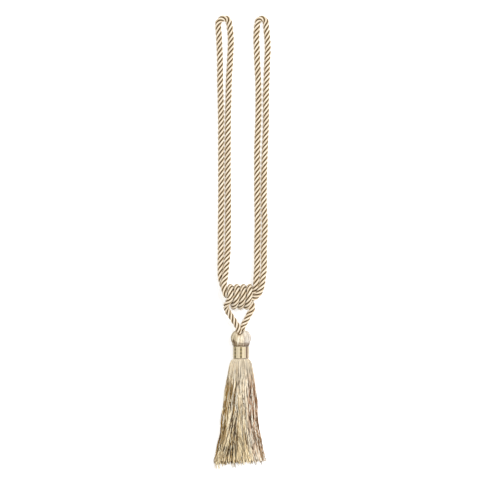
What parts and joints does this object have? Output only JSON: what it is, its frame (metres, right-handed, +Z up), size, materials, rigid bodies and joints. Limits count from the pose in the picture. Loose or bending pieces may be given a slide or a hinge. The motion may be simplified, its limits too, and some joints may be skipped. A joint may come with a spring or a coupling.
{
  "type": "curtain tieback tassel",
  "caption": "Curtain tieback laid flat: a twisted rope loop with two long ears, a sliding knot of rope turns, and a banded tassel with a skirt of threads below it.",
  "frame": {"origin": "on the surface it lies on, under the middle of the tassel's head", "axes": "+X to the right, +Y from the tassel's head up to the two ears, +Z up from the surface, towards the viewer"},
  "size_m": [0.0565, 0.455, 0.0249],
  "materials": {
    "rope": "satin twisted yarn, cream to beige, brown in the grooves",
    "thread": "silky champagne threads with brown shade between them",
    "band": "pale gold metallic thread, finely wound"
  },
  "bodies": {
    "root": {"loop_rope": "rope", "slider_cord": "rope", "tassel": "thread", "neck_band": "band"}
  },
  "joints": []
}
